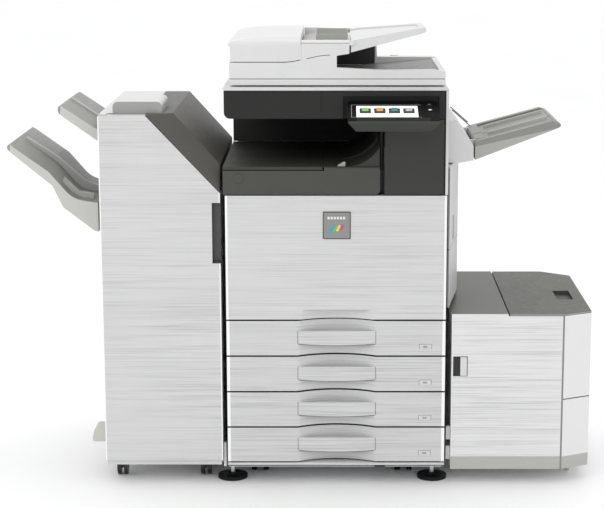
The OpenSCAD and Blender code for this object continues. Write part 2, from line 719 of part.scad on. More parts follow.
roller_x = 130;
roller_z = 1128;

module feeder_roller() color(black) placed() {
    rod_y(feeder_y + 86, feeder_back - 98, roller_x, roller_z, 4);
    rod_y(feeder_y + 110, feeder_back - 124, roller_x, roller_z, 14);
}

cover_pivot = [feeder_x + 5.5, 1121.5];
cover_ear_y = [feeder_y + 80, feeder_back - 88];
tray_pivot = [331, 1165];
deck_top = 1162;                          // sheet surface in front of the input tray

// Curved cover over the feed roller, hinged at the left end
function cover_section(top, inset) = [[feeder_y + inset, 1100], [feeder_back - inset, 1100],
    [feeder_back - inset, top - 6 - inset], [feeder_back - 6 - inset, top - inset],
    [feeder_y + 24 + inset, top - inset], [feeder_y + 11 + inset, top - 4 - inset],
    [feeder_y + 3 + inset, top - 10 - inset], [feeder_y + inset, top - 17 - inset]];

module feeder_cover() color(white) placed() {
    top_z = 1178;
    left = feeder_x - 3;
    outer = concat([[198, top_z], [110, top_z - 0.5], [66, top_z - 2.5], [38, top_z - 6], [22, top_z - 10]],
        arc(left + 6, top_z - 17, 6, 110, 200, 6),
            [[left + 6, top_z - 22], [left + 6, 1135], [left + 6, 1127]],
        [[feeder_x + 2, 1119], [feeder_x + 6, seam_z + gap]],
        [for (i = [seam_n : -1 : seam_n * 5 / 8]) seam(i, gap)]);
    inner = [[194, 1100], [194, top_z - 4], [110, top_z - 4.5], [66, top_z - 7], [40, top_z - 11],
        [feeder_x + 14, top_z - 18], [feeder_x + 14, 1100]];
    difference() {
        intersection() {
            prism_y(feeder_y, feeder_back, outer);
            prism_x(0, 210, cover_section(top_z, 0));
        }
        intersection() {
            prism_y(feeder_y + 4, feeder_back - 4, inner);
            prism_x(0, 210, cover_section(top_z, 4));
        }
        for (y = cover_ear_y) {
            block([feeder_x - 1, y - 0.5, 1110], [cover_pivot[0] + 5, y + 8.5, cover_pivot[1] + 5]);
            rod_y(y - 7, y + 15, cover_pivot[0], cover_pivot[1], 1.5 + run_fit);
        }
    }
}

module feeder_input_tray() color(white) placed() difference() {
    profile = concat([[326, 1141], [512, 1190]], arc(511, 1197, 7, -70, 90, 6), [[326, 1170.5]]);
    front = feeder_y + 4;
    intersection() {
        prism_y(front, feeder_back - 10, profile);
        prism_z(1100, 1240, [[320, front], [500, front], [512, front + 4], [518, front + 14], [520, 60],
            [520, 170],
            [516, 195], [504, 216], [345, feeder_back - 14], [338, feeder_back - 10],
                [320, feeder_back - 10]]);
    }
    // recessed paper surface
    intersection() {
        prism_y(feeder_y + 30, feeder_back, [[325, 1166.5], [500, 1198], [500, 1230], [325, 1230]]);
        prism_z(1100, 1240, [[325, feeder_y + 40], [490, feeder_y + 40], [500, feeder_y + 52], [500, 170],
            [486, 205],
            [350, 420], [325, 430]]);
    }
    rod_y(feeder_y, feeder_y + 19, tray_pivot[0], tray_pivot[1], 2.5 + run_fit);
    rod_y(feeder_back - 25, feeder_back, tray_pivot[0], tray_pivot[1], 2.5 + run_fit);
}

// Upright fence on a foot that slides on the feed deck; side is -1 at the front
module feeder_guide(y, side) {
    low = deck_top + 0.3;
    block([236, y - 1.5, low], [318, y + 1.5, low + 17]);
    block([250, side > 0 ? y - 1 : y - 24, low], [306, side > 0 ? y + 24 : y + 1, low + 2]);
}

module feeder_guide_front() color(grey) placed() feeder_guide(140, -1);

module feeder_guide_rear() color(grey) placed() feeder_guide(350, 1);

// ---- finisher ------------------------------------------------------------

fin_chamfer_y = 34;
fin_flat_x = -131;                        // right end of the dark cover's flat top
fin_right_z = 852;                        // top of the dark cover's vertical end
upper_slot = [940, 958];
lower_slot = [752, 776];

// Half space under the plane through three points, given anticlockwise from outside
module below_plane(a, b, c) {
    n = cross(b - a, c - a);
    size = 3000;
    translate(a) rotate([0, acos(n[2] / norm(n)), atan2(n[1], n[0])])
        translate([-size / 2, -size / 2, -size]) cube(size);
}

module finisher_frame() color(white) placed() {
    top = finisher_h;
    outer = concat([[fin_l, fin_floor], [fin_r, fin_floor], [fin_r, fin_shoulder_z - 2]],
        [[fin_shoulder_x - 1, top - 5], [fin_shoulder_x - 1, top]], arc(fin_l + 4, top - 4, 4, 90, 180, 6));
    inner = [[fin_l + 4, fin_floor + 6], [fin_r - 4, fin_floor + 6], [fin_r - 4, fin_shoulder_z - 6],
        [fin_shoulder_x - 4, top - 9], [fin_l + 4, top - 9]];
    difference() {
        union() {
            difference() {
                prism_y(30, fin_back, outer);
                prism_y(29, fin_back - 4, inner);
            }
            // shelf under the stapler
            block([-284, 33, 708], [fin_r - 3, fin_back - 3, 714]);
        }
        // paper slots and slots for the arms of the moving tray
        block([fin_l - 1, 90, upper_slot[0]], [fin_l + 6, 420, upper_slot[1]]);
        block([fin_l - 1, 90, lower_slot[0]], [fin_l + 6, 430, lower_slot[1]]);
        for (y = [150, 370])
            block([fin_l - 1, y - 1, 400], [fin_l + 6, y + 21, 700]);
        // entrance for paper from the main unit
        block([fin_r - 6, 100, 760], [fin_r + 1, 440, 772]);
        for (p = fin_casters)
            rod_z(fin_floor - 1, fin_floor + 8, p[0], p[1], 5 + run_fit);
    }
    // raised hood over the upper tray's exit
    prism_y(32, 205, concat([[-160, top], [-160, top + 10]], arc(-172, top + 16, 13, 0, 90, 5),
        arc(-272, top + 16, 13, 90, 180, 5), [[-285, top]]));
    block([fin_l + 4, 8, fin_floor], [fin_r - 4, 31, fin_floor + 12]);
    // door pins, the upper one under a tab
    rod_z(fin_floor + 10, 86, fin_hinge[0], fin_hinge[1], 3);
    rod_z(finisher_h - 20, finisher_h, fin_hinge[0], fin_hinge[1], 3);
    block([fin_hinge[0] - 5, 6, finisher_h - 2.5], [fin_hinge[0] + 12, 31, finisher_h]);
    // ears and pin of the booklet tray
    for (y = booklet_ear_y) {
        prism_y(y, y + 8, concat(arc(booklet_hinge[0], booklet_hinge[1], 4, 90, 270, 8),
            [[fin_l + 1, booklet_hinge[1] - 4], [fin_l + 1, booklet_hinge[1] + 4]]));
        rod_y(y - 8, y + 16, booklet_hinge[0], booklet_hinge[1], 2);
    }
}

fin_casters = [[-287, 81], [-62, 81], [-287, 500], [-62, 500]];
fin_hinge = [fin_l + 10, 11];
booklet_hinge = [fin_l - 7, 99];
booklet_ear_y = [92, 116];

module finisher_door() color(white) placed() difference() {
    outline = concat([[fin_l, 65], [fin_r, 65], [fin_r, fin_shoulder_z - 1.5]],
        [[fin_shoulder_x - 1.5, finisher_h - 3]], arc(fin_l + 5, finisher_h - 8, 5, 90, 180, 6));
    prism_y(0, 26, outline);
    difference() {
        prism_y(4, 27, [[fin_l + 8, 74], [fin_r - 8, 74], [fin_r - 8, fin_shoulder_z - 12],
            [fin_shoulder_x - 6, finisher_h - 16], [fin_l + 8, finisher_h - 16]]);
        block([fin_r - 46, 0, 584], [fin_r, 30, 770]);
        block([fin_l, 0, 60], [fin_l + 24, 30, finisher_h]);
    }
    // grip recess at the free edge
    prism_x(fin_r - 21, fin_r + 1, [[-1, 597], [-1, 757], [16, 750], [16, 604]]);
    // bores for the hinge pins
    rod_z(60, 88, fin_hinge[0], fin_hinge[1], 3 + run_fit);
    rod_z(finisher_h - 22, finisher_h + 1, fin_hinge[0], fin_hinge[1], 3 + run_fit);
}

module finisher_top_cover() color("#66645c") placed() {
    front_a = [fin_shoulder_x, 0, finisher_h - 3];
    front_b = [fin_r, 0, fin_shoulder_z];
    back_c = [fin_r, fin_chamfer_y, fin_right_z];
    outer = [[fin_shoulder_x, finisher_h - 3], [fin_r, fin_shoulder_z], [fin_r, fin_right_z],
        [fin_flat_x, finisher_h], [fin_shoulder_x, finisher_h]];
    inner = [[fin_shoulder_x - 40, finisher_h + 30], [fin_r - 4, fin_shoulder_z - 20],
        [fin_r - 4, fin_right_z - 3],
        [fin_flat_x - 2, finisher_h - 5], [fin_shoulder_x - 1, finisher_h - 5]];
    difference() {
        intersection() {
            prism_y(0, fin_back, outer);
            below_plane(front_a, front_b, back_c);
        }
        intersection() {
            prism_y(4, fin_back - 4, inner);
            translate([0, 5, 0]) below_plane(front_a, front_b, back_c);
        }
    }
}

module finisher_upper_tray() color(grey) placed() intersection() {
    prism_y(70, 420, [[fin_l, 906], [-334, 910], [-431, 979], [-435, 986], [-432, 996], [-424, 999],
        [-337, 941], [fin_l, 936]]);
    prism_z(900, 1010, round_rect(-435, 70, fin_l, 420, [22, 0, 0, 22]));
}

lower_tray_profile = concat([[-334, 668], [-345, 671], [-425, 733], [-452, 790], [-549, 870]],
    [[tray_low_tip, 886], [tray_low_tip + 2, 893], [-561, 899]],
    [[-461, 827]], arc(-362, 822, 72, 222, 262, 6), [[-334, 745]]);

module finisher_lower_tray() color(grey) placed() {
    intersection() {
        prism_y(70, 440, lower_tray_profile);
        prism_z(650, 950, round_rect(tray_low_tip, 70, -330, 440, [26, 0, 0, 26]));
    }
    // carriage arms that pass through the casing's slots
    for (y = [150, 370])
        block([-335, y, 672], [fin_l + 30, y + 20, 692]);
    block([fin_l + 12, 140, 660], [fin_l + 30, 400, 698]);
}

module booklet_tray() color("#c9c7bd") placed() difference() {
    prism_y(80, 138, concat([[fin_l - 4, 92], [fin_l - 4, 131]], arc(-352, 121, 10, 90, 165, 4),
        arc(-359, 100, 8, 165, 265, 5)));
    for (y = booklet_ear_y) {
        block([booklet_hinge[0] - 5, y - 0.5, 80], [fin_l, y + 8.5, booklet_hinge[1] + 5]);
        rod_y(y - 9, y + 17, booklet_hinge[0], booklet_hinge[1], 2 + run_fit);
    }
}

module stapler_unit() color(black) placed() {
    block([-276, 120, 714], [-180, 240, 740]);
    prism_y(150, 210, [[-276, 739], [-180, 739], [-180, 800], [-210, 812], [-250, 790], [-276, 760]]);
    block([-240, 239, 714], [-200, 300, 730]);
}

module caster_front_left() color(black) placed() caster(fin_casters[0][0], fin_casters[0][1], fin_floor,
    caster_r);

module caster_front_right() color(black) placed() caster(fin_casters[1][0], fin_casters[1][1], fin_floor,
    caster_r);

module caster_rear_left() color(black) placed() caster(fin_casters[2][0], fin_casters[2][1], fin_floor,
    caster_r);

module caster_rear_right() color(black) placed() caster(fin_casters[3][0], fin_casters[3][1], fin_floor,
    caster_r);

// ---- paper cabinet -------------------------------------------------------

// Plan of the cabinet, shrunk by t, from its left front corner
function cabinet_plan(t, left) = [[left, t], [cab_split + 4, t], [cab_r - t, 38 + t / 2], [cab_r - t, 484],
    [cab_split, cab_back - t], [left, cab_back - t]];

module cabinet_body() color(white) placed() {
    lid_seat = cabinet_top - 5.5;
    difference() {
        union() {
            difference() {
                prism_z(cabinet_base, lid_seat, cabinet_plan(0, cab_l));
                prism_z(cabinet_base + 5, lid_seat + 1, cabinet_plan(5, cab_l + 5));
            }
            block([cab_l, 0, lid_seat - 4], [cab_hinge_x - 4, cab_back, cabinet_top]);
        }
        // pocket of the release lever
        block([595, -1, 295], [633, 4, 349]);
        // seam beside the end cover and seam above the base strip
        block([cab_split, -1, cabinet_base - 1], [cab_split + 4, 2, cabinet_top]);
        block([cab_l - 1, -1, 74], [cab_split, 1.5, 76]);
        // paper exit towards the main unit
        block([cab_l - 1, 120, lid_seat - 40], [cab_l + 6, 420, lid_seat - 24]);
        // seam across the end cover
        difference() {
            block([cab_split + 4, -1, 231], [cab_r + 1, cab_back + 1, 233.5]);
            prism_z(230, 235, cabinet_plan(1.5, cab_l));
        }
    }
    // fixed glides
    for (x = [612, 915], y = [120, 440])
        rod_z(0, cabinet_base + 1, x, y, 9);
}

module cabinet_lid() color(grey) placed() difference() {
    union() {
        prism_z(cabinet_top - 5, cabinet_top, cabinet_plan(0, cab_hinge_x));
        // rim that drops inside the cabinet's walls, and the block around the grip
        difference() {
            prism_z(cabinet_top - 15, cabinet_top - 4, cabinet_plan(6, cab_hinge_x + 6));
            prism_z(cabinet_top - 16, cabinet_top - 3, cabinet_plan(9, cab_hinge_x + 9));
        }
        block([882, 170, cabinet_top - 15], [934, 290, cabinet_top - 4]);
    }
    // grip pocket near the outer end
    block([886, 174, cabinet_top - 11], [930, 286, cabinet_top + 1]);
}

module cabinet_lever() color(white) placed() block([614, -2, 297], [631, 3.5, 347]);

module cabinet_paper_table() color(steel) placed() difference() {
    block([cab_l + 12, 46, 60], [cab_r - 14, 470, 64]);
    block([cab_l + 120, 40, 59], [cab_l + 200, 140, 65]);
}

// ---- nodes ---------------------------------------------------------------

main_frame();
outer_covers();
rear_cover();
output_tray();
cavity_liner();
relay_cover();
exit_cover();
scanner_housing();
scanner_top();
platen_glass();
scan_carriage();
stand_feet();
front_door();
toner_cartridges();
drum_units();
transfer_belt_unit();
laser_unit();
fuser_unit();
feed_rollers();
panel_housing();
panel_screen();
panel_key_upper();
panel_key_lower();
side_door();
side_door_latch();
side_tray_housing();
side_tray();
drawer_front(1);  // drawer_1_front
drawer_tray(1);  // drawer_1_tray
drawer_lift_plate(1);  // drawer_1_lift_plate
drawer_front(2);  // drawer_2_front
drawer_tray(2);  // drawer_2_tray
drawer_lift_plate(2);  // drawer_2_lift_plate
drawer_front(3);  // drawer_3_front
drawer_tray(3);  // drawer_3_tray
drawer_lift_plate(3);  // drawer_3_lift_plate
drawer_front(4);  // drawer_4_front
drawer_tray(4);  // drawer_4_tray
drawer_lift_plate(4);  // drawer_4_lift_plate
feeder_base();
feeder_cover();
feeder_input_tray();
feeder_guide_front();
feeder_guide_rear();
feeder_roller();
finisher_frame();
finisher_door();
finisher_top_cover();
finisher_upper_tray();
finisher_lower_tray();
booklet_tray();
stapler_unit();
caster_front_left();
caster_front_right();
caster_rear_left();
caster_rear_right();
cabinet_body();
cabinet_lid();
cabinet_lever();
cabinet_paper_table();
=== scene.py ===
import math

import bmesh
import bpy
from mathutils import Matrix, Vector


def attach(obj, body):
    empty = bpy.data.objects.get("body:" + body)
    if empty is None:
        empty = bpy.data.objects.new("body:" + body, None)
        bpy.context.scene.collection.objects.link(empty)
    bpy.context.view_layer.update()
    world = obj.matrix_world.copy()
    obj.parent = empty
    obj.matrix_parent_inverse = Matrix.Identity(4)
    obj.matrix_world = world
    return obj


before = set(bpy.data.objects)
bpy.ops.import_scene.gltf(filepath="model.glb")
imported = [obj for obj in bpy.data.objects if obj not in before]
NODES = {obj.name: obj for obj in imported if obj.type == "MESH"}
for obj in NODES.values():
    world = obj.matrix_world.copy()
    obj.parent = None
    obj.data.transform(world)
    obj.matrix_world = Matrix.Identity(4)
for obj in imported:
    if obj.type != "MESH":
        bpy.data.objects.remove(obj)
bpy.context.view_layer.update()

# Machine coordinates: millimetres, X from the main unit's left edge, Y from its front, Z from the floor.
OFFSET = (-194.5, -239.5, 0.0)


def at(x, y, z):
    return Vector(((x + OFFSET[0]) / 1000, (y + OFFSET[1]) / 1000, z / 1000))


DRAWER_BASE = 60.3
DRAWER_STEP = 96.5
HANDLE_L, HANDLE_R = 188, 392

# ---- materials -------------------------------------------------------------


class Graph:
    """A material whose nodes are added one call at a time."""

    def __init__(self, name):
        self.mat = bpy.data.materials.new(name)
        self.mat.use_nodes = True
        self.tree = self.mat.node_tree
        self.tree.nodes.clear()
        self.out = self.add("ShaderNodeOutputMaterial")
        self.bsdf = self.add("ShaderNodeBsdfPrincipled")
        self.link(self.bsdf.outputs[0], self.out.inputs[0])
        self.coord = self.add("ShaderNodeTexCoord")
        self.object = self.coord.outputs["Object"]
        self.xyz = self.add("ShaderNodeSeparateXYZ")
        self.link(self.object, self.xyz.inputs[0])
        self.normal = self.add("ShaderNodeSeparateXYZ")
        self.link(self.coord.outputs["Normal"], self.normal.inputs[0])

    def add(self, kind, **values):
        node = self.tree.nodes.new(kind)
        for key, value in values.items():
            setattr(node, key, value)
        return node

    def link(self, a, b):
        self.tree.links.new(a, b)

    def put(self, value, socket):
        if isinstance(value, bpy.types.NodeSocket):
            self.link(value, socket)
        else:
            socket.default_value = value

    def math(self, op, a, b=0.0, clamp=False):
        node = self.add("ShaderNodeMath", operation=op, use_clamp=clamp)
        self.put(a, node.inputs[0])
        self.put(b, node.inputs[1])
        return node.outputs[0]

    def noise(self, scale, stretch=(1, 1, 1), detail=4.0, rough=0.6):
        mapping = self.add("ShaderNodeMapping")
        mapping.inputs["Scale"].default_value = stretch
        self.link(self.object, mapping.inputs["Vector"])
        node = self.add("ShaderNodeTexNoise")
        node.inputs["Scale"].default_value = scale
        node.inputs["Detail"].default_value = detail
        node.inputs["Roughness"].default_value = rough
        self.link(mapping.outputs[0], node.inputs["Vector"])
        return node.outputs["Fac"]

    def span(self, value, low, high, to_low=0.0, to_high=1.0):
        node = self.add("ShaderNodeMapRange")
        self.put(value, node.inputs["Value"])
        for i, v in enumerate((low, high, to_low, to_high)):
            node.inputs[i + 1].default_value = v
        return node.outputs[0]

    def mix(self, fac, a, b):
        node = self.add("ShaderNodeMix", data_type="RGBA")
        self.put(fac, node.inputs["Factor"])
        for value, socket in ((a, node.inputs["A"]), (b, node.inputs["B"])):
            # the colour sockets come after those of the other data types
            socket = [s for s in node.inputs if s.name == socket.name and s.type == "RGBA"][0]
            self.put(rgba(value) if isinstance(value, tuple) else value, socket)
        return [s for s in node.outputs if s.type == "RGBA"][0]

    def bump(self, height, strength, distance):
        node = self.add("ShaderNodeBump")
        node.inputs["Strength"].default_value = strength
        node.inputs["Distance"].default_value = distance
        self.link(height, node.inputs["Height"])
        self.link(node.outputs[0], self.bsdf.inputs["Normal"])

    def between(self, value, low, high):
        return self.math("MULTIPLY", self.math("GREATER_THAN", value, low), self.math("LESS_THAN", value, high))

    def both(self, *masks):
        out = masks[0]
        for m in masks[1:]:
            out = self.math("MULTIPLY", out, m)
        return out

    def x(self, low, high):
        return self.between(self.xyz.outputs[0], at(low, 0, 0).x, at(high, 0, 0).x)

    def y(self, low, high):
        return self.between(self.xyz.outputs[1], at(0, low, 0).y, at(0, high, 0).y)

    def z(self, low, high):
        return self.between(self.xyz.outputs[2], low / 1000, high / 1000)

    def finish(self, color, rough=0.5, **sockets):
        self.put(rgba(color) if isinstance(color, tuple) else color, self.bsdf.inputs["Base Color"])
        self.put(rough, self.bsdf.inputs["Roughness"])
        for key, value in sockets.items():
            self.put(value, self.bsdf.inputs[key.replace("_", " ")])
        return self.mat


def rgba(c):
    return (c[0], c[1], c[2], 1.0)


def shade(c, k):
    return tuple(v * k for v in c)


def mottled(g, color, spread=0.05):
    """Base colour with the faint cloudiness of a large moulding."""
    return g.mix(g.span(g.noise(9.0, detail=3.0), 0.3, 0.7), shade(color, 1 - spread), shade(color, 1 + spread))


def plastic(name, color, rough=0.48, grain=0.25, spread=0.05, patches=(), ior=1.5):
    """Moulded plastic with a fine spark-eroded grain. patches: (mask function, colour) painted by position."""
    g = Graph(name)
    out = mottled(g, color, spread)
    for mask, patch in patches:
        out = g.mix(mask(g), out, patch)
    fine = g.noise(2600.0, detail=2.0)
    g.bump(fine, grain, 0.0002)
    return g.finish(out, g.span(g.noise(60.0), 0.3, 0.7, rough - 0.05, rough + 0.06), IOR=ior)


WHITE = (0.62, 0.62, 0.622)
FEEDER_WHITE = (0.65, 0.65, 0.652)
DOOR_WHITE = (0.61, 0.61, 0.612)
DRAWER_WHITE = (0.59, 0.59, 0.592)
CABINET_WHITE = (0.71, 0.71, 0.712)
STREAK_SHADE = 0.6
PAINTED_EDGE_HIGHLIGHT = (0.88, 0.88, 0.88)
# near black for faces hidden in gaps: painted shade
PAINTED_GAP_SHADE = (0.03, 0.03, 0.03)
DARK = (0.056, 0.056, 0.050)
BLACK = (0.012, 0.012, 0.012)
BEIGE = (0.086, 0.086, 0.074)
TRAY = (0.27, 0.27, 0.247)


def front(g):
    return g.math("LESS_THAN", g.normal.outputs[1], -0.7)


def upward(g):
    return g.math("GREATER_THAN", g.normal.outputs[2], 0.6)


def level(g):
    """Faces that look straight up or straight down."""
    return g.math("GREATER_THAN", g.math("ABSOLUTE", g.normal.outputs[2]), 0.85)


def drawer_gap_shade(g):
    """The hidden top and bottom faces of the drawer fronts, painted dark: painted shade in the gaps."""
    steps = g.math("PINGPONG", g.math("SUBTRACT", g.xyz.outputs[2], DRAWER_BASE / 1000), DRAWER_STEP / 2000)
    return g.both(level(g), g.math("LESS_THAN", steps, 0.004))


def tray_shoulder(g):
    """The side tray's front above the line that climbs from its root to its lower tip."""
    rise = g.span(g.xyz.outputs[0], at(650, 0, 0).x, at(872, 0, 0).x, 0.892, 0.942)
    return g.math("GREATER_THAN", g.xyz.outputs[2], rise)


def striped(name, x_low, x_high, base=DOOR_WHITE, patches=(), z_low=0, z_high=2000):
    """White moulding whose front faces carry fine, broken horizontal lines and a painted highlight along their left
    and right edges.
    """
    g = Graph(name)
    area = g.both(front(g), g.x(x_low, x_high), g.z(z_low, z_high))
    rim = g.both(front(g), g.z(z_low, z_high), g.math("SUBTRACT", 1.0, g.x(x_low, x_high)))
    thin = g.span(g.noise(1.0, (4.0, 1, 300), detail=3.0, rough=0.55), 0.48, 0.68)
    broad = g.span(g.noise(1.0, (1.8, 1, 85), detail=2.0, rough=0.5), 0.5, 0.75)
    strength = g.span(g.noise(3.0, (1.0, 1, 0.6), detail=2.0), 0.35, 0.65, 0.35, 1.0)
    lines = g.math("ADD", g.math("MULTIPLY", thin, 0.62), g.math("MULTIPLY", broad, 0.3), clamp=True)
    fac = g.both(lines, area, strength)
    out = g.mix(fac, mottled(g, base, 0.012), shade(base, STREAK_SHADE))
    # front faces outside x_low..x_high: painted highlight along the edges
    out = g.mix(rim, out, PAINTED_EDGE_HIGHLIGHT)
    for mask, patch in patches:
        out = g.mix(mask(g), out, patch)
    height = g.math("ADD", g.math("MULTIPLY", fac, -0.5), g.math("MULTIPLY", g.noise(2400.0, detail=2.0), 0.2))
    g.bump(height, 0.2, 0.0004)
    return g.finish(out, g.span(fac, 0, 1, 0.42, 0.52))


def metal(name, color, rough=0.32, brushed=(1, 1, 1), painted=None):
    """Metal with fine brush lines; the area under the mask `painted` is matt black: painted shade."""
    g = Graph(name)
    lines = g.noise(300.0, brushed, detail=3.0)
    out = g.mix(g.span(lines, 0.35, 0.65), shade(color, 0.88), shade(color, 1.06))
    g.bump(lines, 0.12, 0.0002)
    shine = 1.0
    if painted is not None:
        paint = painted(g)
        out = g.mix(paint, out, BLACK)
        shine = g.math("SUBTRACT", 1.0, paint)
    return g.finish(out, g.span(lines, 0.3, 0.7, rough - 0.06, rough + 0.08), Metallic=shine)


def rubber(name, color=(0.02, 0.02, 0.021)):
    g = Graph(name)
    g.bump(g.noise(1500.0, detail=3.0), 0.35, 0.0003)
    return g.finish(mottled(g, color, 0.2), g.span(g.noise(40.0), 0.3, 0.7, 0.55, 0.75))


def glass(name):
    g = Graph(name)
    smear = g.noise(7.0, detail=6.0)
    return g.finish(g.mix(smear, (0.78, 0.86, 0.86), (0.86, 0.92, 0.92)), g.span(smear, 0.4, 0.8, 0.02, 0.09),
                    Transmission_Weight=0.85, IOR=1.5)


def glowing_plastic(name, color, glow):
    g = Graph(name)
    g.put(rgba(color), g.bsdf.inputs["Emission Color"])
    g.bsdf.inputs["Emission Strength"].default_value = glow
    fine = g.noise(900.0)
    return g.finish(g.mix(g.span(fine, 0.3, 0.7), shade(color, 0.95), color), g.span(fine, 0.3, 0.7, 0.18, 0.26))


M = {}
M["white"] = plastic("white_plain", WHITE, 0.42, 0.2, 0.02)
M["door"] = striped("white_door", 8, 568, patches=[
    # the door's level faces over the top drawer, painted near black: painted shade in the gap
    (lambda g: g.both(level(g), g.z(440, 452)), PAINTED_GAP_SHADE)])
M["drawer"] = striped("white_drawer", 10, 566, DRAWER_WHITE, patches=[(drawer_gap_shade, PAINTED_GAP_SHADE)])
M["skirt"] = striped("white_skirt", -3, 600, z_high=70)
M["finisher"] = striped("white_finisher", -318, -14, patches=[
    # the handle recess painted near black: painted shade
    (lambda g: g.both(g.x(-33, -5), g.z(590, 765), g.y(0.6, 60)), (0.06, 0.06, 0.06))])
M["frame_white"] = plastic("white_casing", WHITE, 0.42, 0.2, 0.02, patches=[
    # the set-back front of the finisher's hood painted grey: painted shade
    (lambda g: g.both(g.x(-295, -150), g.y(20, 33), g.z(982, 1020)), (0.33, 0.33, 0.32))])
M["cabinet"] = striped("white_cabinet", 592, 880, CABINET_WHITE, z_low=77, patches=[
    (lambda g: g.both(g.z(0, 75), front(g)), (0.42, 0.42, 0.40)),
    (lambda g: g.both(g.x(885.5, 962), g.z(76, 456)), (0.735, 0.735, 0.737)),
    (lambda g: g.both(g.z(230.8, 233.7), g.x(884, 962)), (0.10, 0.10, 0.10)),
    (lambda g: g.both(g.x(880.5, 885.5), g.y(-1, 3)), (0.30, 0.30, 0.29)),
    (lambda g: g.both(g.z(440, 470), upward(g)), BEIGE),
    # the lever's recess painted black: painted shade
    (lambda g: g.both(g.x(594, 634), g.z(294, 350), g.y(3.2, 4.5)), BLACK)])
M["dark"] = plastic("dark_moulding", DARK, 0.42, 0.3, ior=1.42)
M["output"] = plastic("dark_tray", (0.05, 0.05, 0.046), 0.55, 0.35, ior=1.25, patches=[
    # upward faces darker towards the rear of the cavity: painted shade
    (lambda g: g.both(upward(g), g.y(330, 640)), (0.022, 0.022, 0.020)),
    (lambda g: g.both(upward(g), g.y(180, 330)), (0.036, 0.036, 0.033))])
M["liner"] = plastic("black_liner", (0.010, 0.010, 0.010), 0.6, 0.3, ior=1.3, patches=[
    # rear part lighter towards the left end: painted light falling in from the open side
    (lambda g: g.math("MULTIPLY", g.y(400, 600), g.span(g.xyz.outputs[0], at(-4, 0, 0).x, at(170, 0, 0).x, 1.0, 0.0)),
     (0.040, 0.041, 0.039))])
M["fascia"] = plastic("dark_fascia", (0.018, 0.018, 0.0175), 0.36, 0.2, ior=1.32, patches=[
    # faces inside the pocket and two small recesses painted near black: painted shade
    (lambda g: g.both(g.x(305, 552), g.y(1.2, 90)), (0.004, 0.004, 0.004)),
    (lambda g: g.both(g.math("MAXIMUM", g.x(120, 137), g.x(282, 299)), g.y(55, 72), g.z(955, 974)), BLACK)])
M["exit"] = plastic("dark_exit_cover", (0.036, 0.036, 0.0325), 0.36, 0.2, ior=1.36, patches=[
    # faces inside the pocket painted near black: painted shade
    (lambda g: g.both(g.x(305, 552), g.y(1.2, 90), g.z(900, 1054)), (0.004, 0.004, 0.004))])
M["slope"] = plastic("warm_grey_slope", (0.105, 0.103, 0.092), 0.5, 0.35, ior=1.4, patches=[
    # faces turned towards the front painted darker: painted shade
    (lambda g: g.math("LESS_THAN", g.normal.outputs[1], -0.3), (0.08, 0.079, 0.071))])
M["tray"] = plastic("grey_tray", TRAY, 0.5, 0.35, patches=[
    (lambda g: g.math("GREATER_THAN", g.math("ABSOLUTE", g.normal.outputs[1]), 0.8), (0.52, 0.52, 0.49)),
    (lambda g: g.both(upward(g), g.x(-475, -340), g.y(258, 600), g.z(700, 860)), (0.2, 0.2, 0.185))])
M["side_tray"] = plastic("grey_side_tray", (0.27, 0.27, 0.247), 0.5, 0.35, patches=[
    (lambda g: g.math("LESS_THAN", g.normal.outputs[1], -0.8), (0.37, 0.37, 0.345)),
    (lambda g: g.both(front(g), tray_shoulder(g)), (0.23, 0.23, 0.212)),
    (lambda g: g.both(upward(g), g.math("MAXIMUM", g.y(100, 112), g.y(206, 222))), (0.10, 0.10, 0.092))])
M["rib"] = plastic("grey_rib", (0.44, 0.44, 0.41), 0.5, 0.3)
M["booklet"] = plastic("beige_tray", (0.58, 0.575, 0.54), 0.48, 0.3)
M["lid"] = plastic("beige_lid", BEIGE, 0.48, 0.3, patches=[
    (lambda g: g.math("LESS_THAN", g.normal.outputs[2], 0.6), (0.3, 0.3, 0.285)),
    # the grip pocket painted near black: painted shade
    (lambda g: g.both(g.x(885, 931), g.y(173, 287), g.z(440, 461.5)), (0.05, 0.05, 0.048))])
M["drawer_box"] = plastic("grey_drawer_box", (0.24, 0.25, 0.26), 0.55, 0.3)
M["guide"] = plastic("grey_guide", (0.4, 0.4, 0.37), 0.5, 0.3)
M["grey"] = plastic("grey_latch", (0.4, 0.41, 0.41), 0.45, 0.25)
M["unit"] = plastic("dark_unit", (0.05, 0.053, 0.058), 0.5, 0.3)
M["toner"] = plastic("black_cartridge", (0.02, 0.02, 0.021), 0.4, 0.25, patches=[
    (lambda g: g.both(g.y(28, 37), g.x(36, 120)), (0.01, 0.3, 0.5)),
    (lambda g: g.both(g.y(28, 37), g.x(132, 216)), (0.5, 0.02, 0.16)),
    (lambda g: g.both(g.y(28, 37), g.x(228, 312)), (0.72, 0.55, 0.02))])
M["belt"] = plastic("belt_film", (0.03, 0.033, 0.038), 0.2, 0.05)
M["black"] = plastic("black_moulding", (0.018, 0.018, 0.018), 0.45, 0.3)
M["caster"] = plastic("black_caster", (0.014, 0.014, 0.014), 0.38, 0.25)
M["rubber"] = rubber("roller_rubber")
